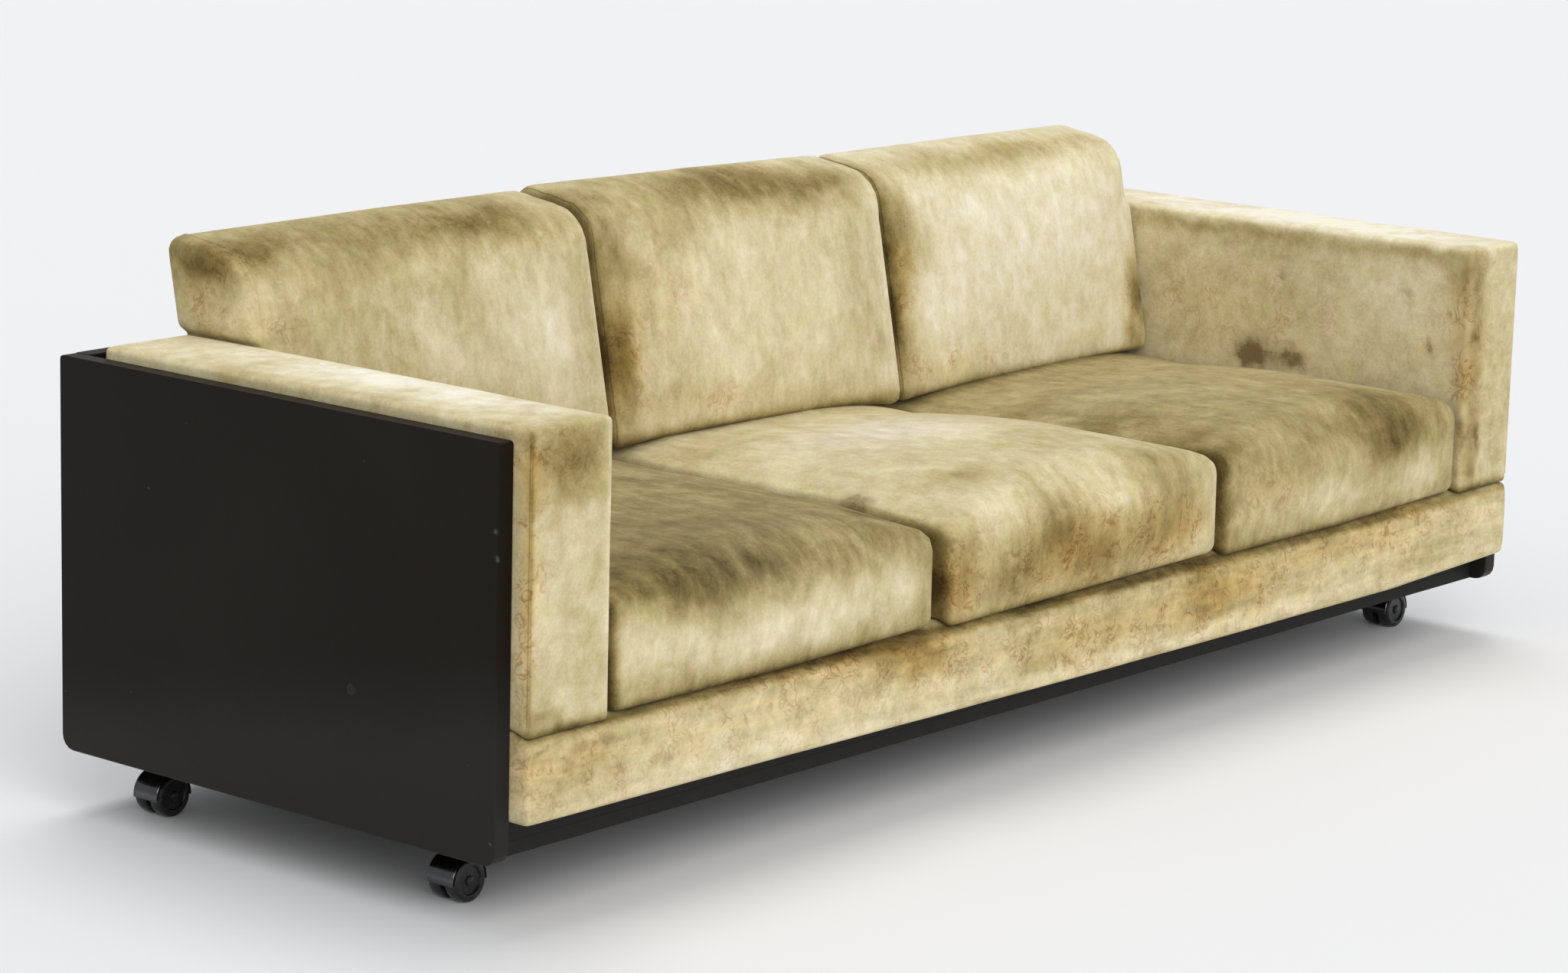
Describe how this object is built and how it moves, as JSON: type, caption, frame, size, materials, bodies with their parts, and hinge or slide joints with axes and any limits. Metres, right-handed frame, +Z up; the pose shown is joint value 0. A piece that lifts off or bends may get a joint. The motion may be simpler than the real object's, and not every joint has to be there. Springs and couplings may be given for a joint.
{
  "type": "three-seater sofa",
  "caption": "Low velvet sofa with flat padded arms, loose seat and back cushions and black lacquered end and back panels, rolling on twin-wheel casters.",
  "frame": {"origin": "on the floor, under the middle of the sofa's length and depth", "axes": "+X along the sofa to the right of a person looking at its front, -Y out of the front, +Z up"},
  "size_m": [2.25, 0.808, 0.7507],
  "materials": {
    "velvet": "matte",
    "black_lacquer": "satin",
    "black_paint": "matte",
    "timber": "matte",
    "webbing": "matte",
    "steel": "satin",
    "hood_grey": "satin",
    "wheel_black": "satin"
  },
  "bodies": {
    "frame": {"left_end_panel": "black_lacquer", "right_end_panel": "black_lacquer", "back_panel": "black_lacquer", "base_board": "black_paint", "seat_front_rail": "black_paint", "left_arm_board": "black_paint", "right_arm_board": "black_paint", "left_arm_pad": "velvet", "right_arm_pad": "velvet", "front_rail_pad": "velvet", "back_rest_board": "velvet", "front_rail_board": "timber", "seat_rear_rail": "timber", "seat_left_rail": "timber", "seat_right_rail": "timber", "seat_left_cross_rail": "timber", "seat_right_cross_rail": "timber", "back_strut_left_inner": "timber", "back_strut_left_outer": "timber", "back_strut_right_inner": "timber", "back_strut_right_outer": "timber", "left_seat_left_strap": "webbing", "left_seat_right_strap": "webbing", "middle_seat_left_strap": "webbing", "middle_seat_right_strap": "webbing", "right_seat_left_strap": "webbing", "right_seat_right_strap": "webbing", "left_panel_bolt": "steel", "right_panel_bolt": "steel", "front_left_caster_plate": "steel", "rear_left_caster_plate": "steel", "front_right_caster_plate": "steel", "rear_right_caster_plate": "steel"},
    "left_seat_cushion": {"left_seat_cushion": "velvet"},
    "left_back_cushion": {"left_back_cushion": "velvet"},
    "middle_seat_cushion": {"middle_seat_cushion": "velvet"},
    "middle_back_cushion": {"middle_back_cushion": "velvet"},
    "right_seat_cushion": {"right_seat_cushion": "velvet"},
    "right_back_cushion": {"right_back_cushion": "velvet"},
    "front_left_caster": {"front_left_caster_hood": "hood_grey", "front_left_caster_axle": "steel"},
    "front_left_caster_front_wheel": {"front_left_caster_front_wheel": "wheel_black"},
    "front_left_caster_rear_wheel": {"front_left_caster_rear_wheel": "wheel_black"},
    "rear_left_caster": {"rear_left_caster_hood": "hood_grey", "rear_left_caster_axle": "steel"},
    "rear_left_caster_front_wheel": {"rear_left_caster_front_wheel": "wheel_black"},
    "rear_left_caster_rear_wheel": {"rear_left_caster_rear_wheel": "wheel_black"},
    "front_right_caster": {"front_right_caster_hood": "hood_grey", "front_right_caster_axle": "steel"},
    "front_right_caster_front_wheel": {"front_right_caster_front_wheel": "wheel_black"},
    "front_right_caster_rear_wheel": {"front_right_caster_rear_wheel": "wheel_black"},
    "rear_right_caster": {"rear_right_caster_hood": "hood_grey", "rear_right_caster_axle": "steel"},
    "rear_right_caster_front_wheel": {"rear_right_caster_front_wheel": "wheel_black"},
    "rear_right_caster_rear_wheel": {"rear_right_caster_rear_wheel": "wheel_black"}
  },
  "joints": [
    {"name": "left_seat_cushion_pull", "type": "slide", "parent": "frame", "child": "left_seat_cushion", "axis": [0, -1, 0], "range_m": [0, 0.65]},
    {"name": "left_back_cushion_lift", "type": "slide", "parent": "frame", "child": "left_back_cushion", "axis": [0, 0, 1], "range_m": [0, 0.4]},
    {"name": "middle_seat_cushion_pull", "type": "slide", "parent": "frame", "child": "middle_seat_cushion", "axis": [0, -1, 0], "range_m": [0, 0.65]},
    {"name": "middle_back_cushion_lift", "type": "slide", "parent": "frame", "child": "middle_back_cushion", "axis": [0, 0, 1], "range_m": [0, 0.4]},
    {"name": "right_seat_cushion_pull", "type": "slide", "parent": "frame", "child": "right_seat_cushion", "axis": [0, -1, 0], "range_m": [0, 0.65]},
    {"name": "right_back_cushion_lift", "type": "slide", "parent": "frame", "child": "right_back_cushion", "axis": [0, 0, 1], "range_m": [0, 0.4]},
    {"name": "front_left_caster_swivel", "type": "hinge", "parent": "frame", "child": "front_left_caster", "pos_m": [-1.02, -0.232, 0.08176], "axis": [0, 0, 1], "continuous": true},
    {"name": "front_left_caster_front_wheel_spin", "type": "hinge", "parent": "front_left_caster", "child": "front_left_caster_front_wheel", "pos_m": [-1.04, -0.232, 0.02776], "axis": [0, 1, 0], "continuous": true},
    {"name": "front_left_caster_rear_wheel_spin", "type": "hinge", "parent": "front_left_caster", "child": "front_left_caster_rear_wheel", "pos_m": [-1.04, -0.232, 0.02776], "axis": [0, 1, 0], "continuous": true},
    {"name": "rear_left_caster_swivel", "type": "hinge", "parent": "frame", "child": "rear_left_caster", "pos_m": [-1.02, 0.305, 0.08176], "axis": [0, 0, 1], "continuous": true},
    {"name": "rear_left_caster_front_wheel_spin", "type": "hinge", "parent": "rear_left_caster", "child": "rear_left_caster_front_wheel", "pos_m": [-1.04, 0.305, 0.02776], "axis": [0, 1, 0], "continuous": true},
    {"name": "rear_left_caster_rear_wheel_spin", "type": "hinge", "parent": "rear_left_caster", "child": "rear_left_caster_rear_wheel", "pos_m": [-1.04, 0.305, 0.02776], "axis": [0, 1, 0], "continuous": true},
    {"name": "front_right_caster_swivel", "type": "hinge", "parent": "frame", "child": "front_right_caster", "pos_m": [1.02, -0.232, 0.08176], "axis": [0, 0, 1], "continuous": true},
    {"name": "front_right_caster_front_wheel_spin", "type": "hinge", "parent": "front_right_caster", "child": "front_right_caster_front_wheel", "pos_m": [1.04, -0.232, 0.02776], "axis": [0, 1, 0], "continuous": true},
    {"name": "front_right_caster_rear_wheel_spin", "type": "hinge", "parent": "front_right_caster", "child": "front_right_caster_rear_wheel", "pos_m": [1.04, -0.232, 0.02776], "axis": [0, 1, 0], "continuous": true},
    {"name": "rear_right_caster_swivel", "type": "hinge", "parent": "frame", "child": "rear_right_caster", "pos_m": [1.02, 0.305, 0.08176], "axis": [0, 0, 1], "continuous": true},
    {"name": "rear_right_caster_front_wheel_spin", "type": "hinge", "parent": "rear_right_caster", "child": "rear_right_caster_front_wheel", "pos_m": [1.04, 0.305, 0.02776], "axis": [0, 1, 0], "continuous": true},
    {"name": "rear_right_caster_rear_wheel_spin", "type": "hinge", "parent": "rear_right_caster", "child": "rear_right_caster_rear_wheel", "pos_m": [1.04, 0.305, 0.02776], "axis": [0, 1, 0], "continuous": true}
  ]
}
